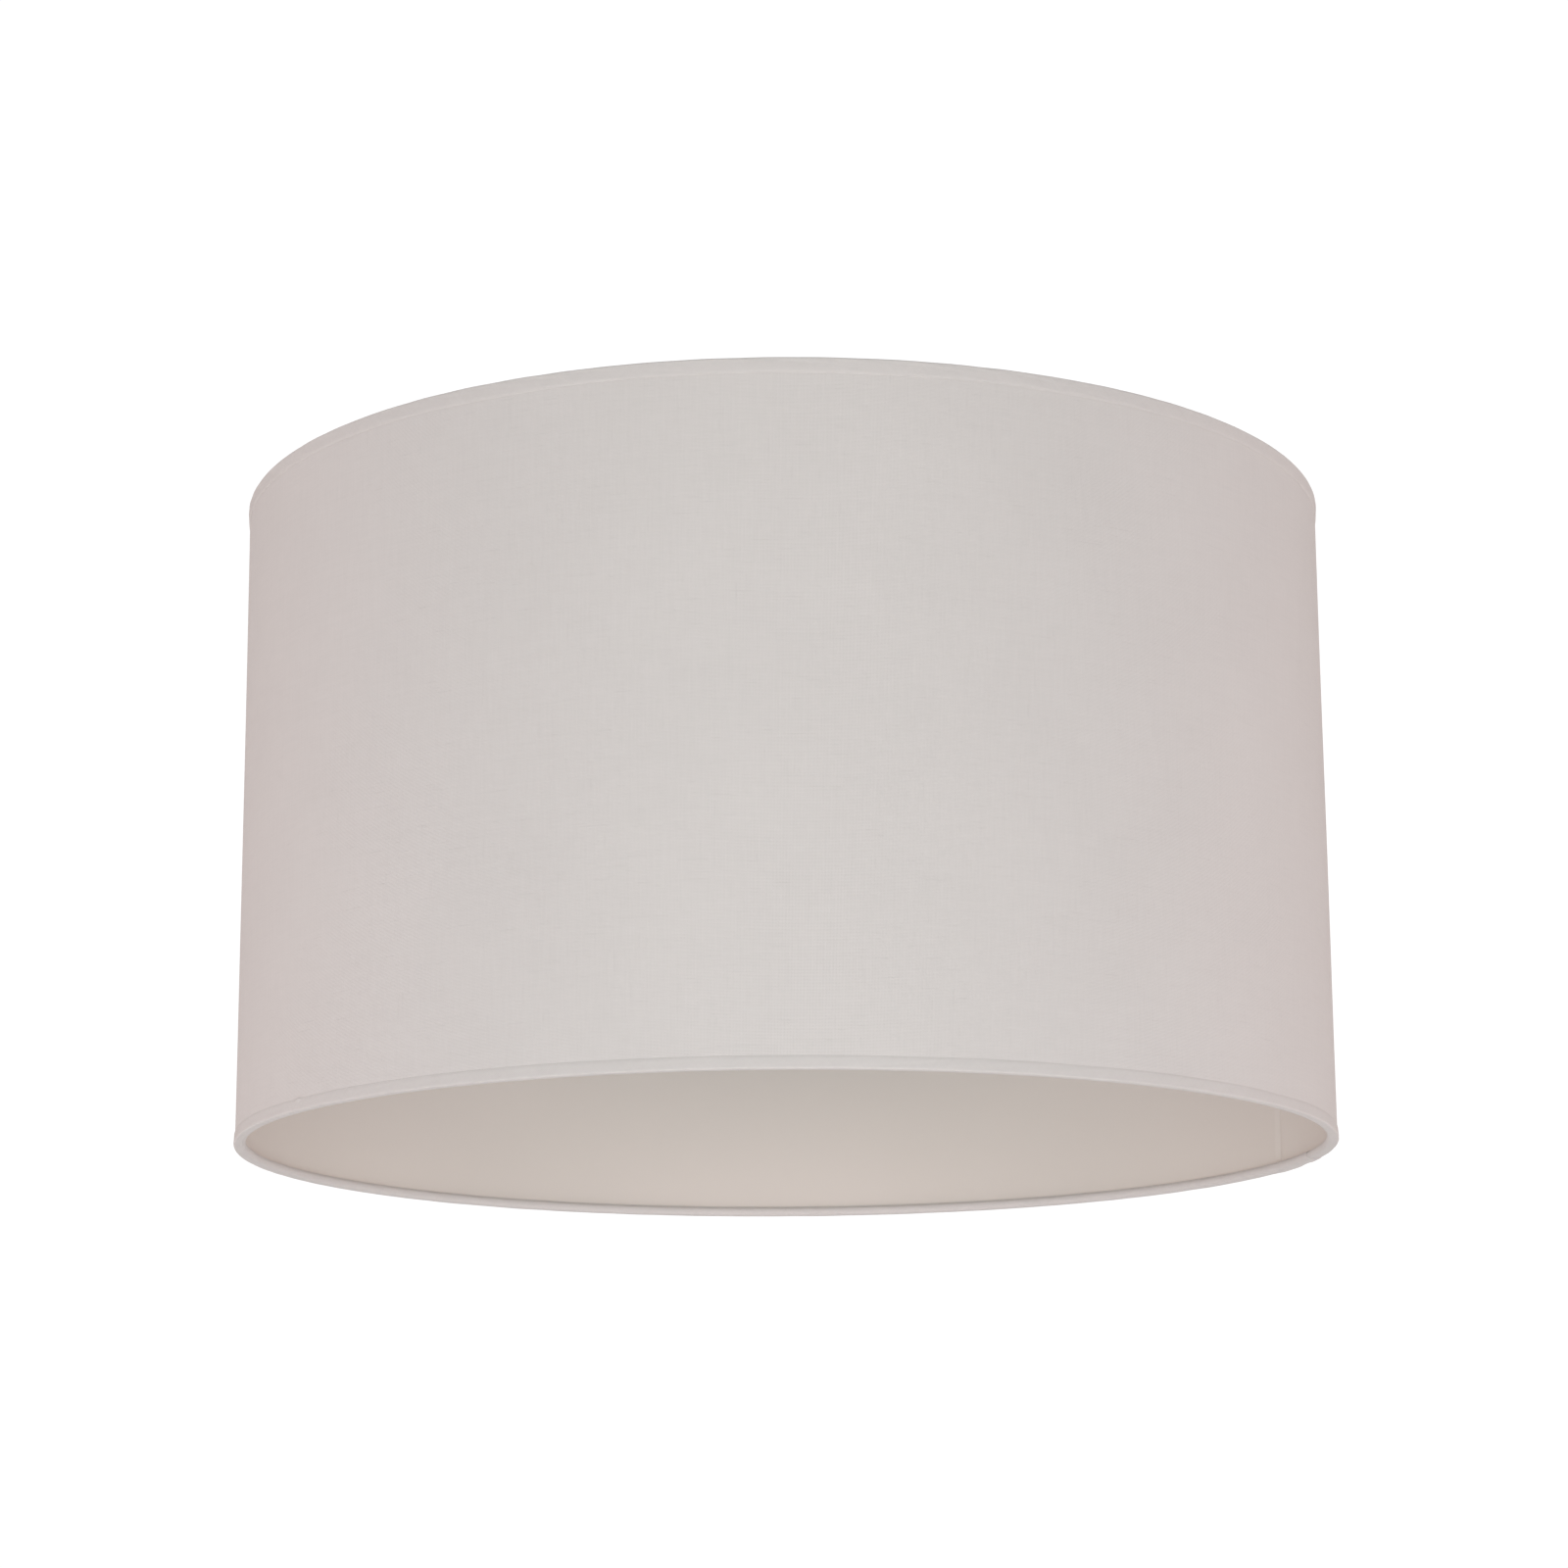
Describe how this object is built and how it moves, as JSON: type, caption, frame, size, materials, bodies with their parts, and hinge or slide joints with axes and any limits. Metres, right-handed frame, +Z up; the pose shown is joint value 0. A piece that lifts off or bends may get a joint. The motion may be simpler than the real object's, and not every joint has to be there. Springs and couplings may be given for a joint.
{
  "type": "lamp shade",
  "caption": "Drum lamp shade: laminated cloth wall with cloth-edged wire rims, open at both ends, hung from a recessed wire spider with a lampholder ring.",
  "frame": {"origin": "centre of the bottom rim, at its lowest face", "axes": "+Z up along the shade's axis, from the bottom rim to the top rim; -Y is the front, which the picture looks at; the lap seam is 17 degrees from +X towards +Y"},
  "size_m": [0.4, 0.4, 0.237],
  "materials": {
    "cover_cloth": "matt plain weave, warm off-white, faint slubs",
    "edging_cloth": "matt plain weave cut on the bias, same cloth as the cover",
    "liner_sheet": "satin, translucent warm white",
    "seam_tape": "translucent adhesive tape",
    "ring_wire": "bright drawn wire",
    "coated_steel": "white powder coat",
    "reducer_plastic": "moulded white plastic, satin"
  },
  "bodies": {
    "shade": {"fabric_cover": "cover_cloth", "liner": "liner_sheet", "seam_tape": "seam_tape", "bottom_ring": "ring_wire", "top_ring": "ring_wire", "bottom_edging": "edging_cloth", "top_edging": "edging_cloth", "spider_arm_1": "coated_steel", "spider_arm_2": "coated_steel", "spider_arm_3": "coated_steel", "carrier_ring": "coated_steel"},
    "reducer": {"reducer_ring": "reducer_plastic"}
  },
  "joints": [
    {"name": "reducer_lift", "type": "slide", "parent": "shade", "child": "reducer", "axis": [0, 0, 1], "range_m": [0, 0.06]}
  ]
}
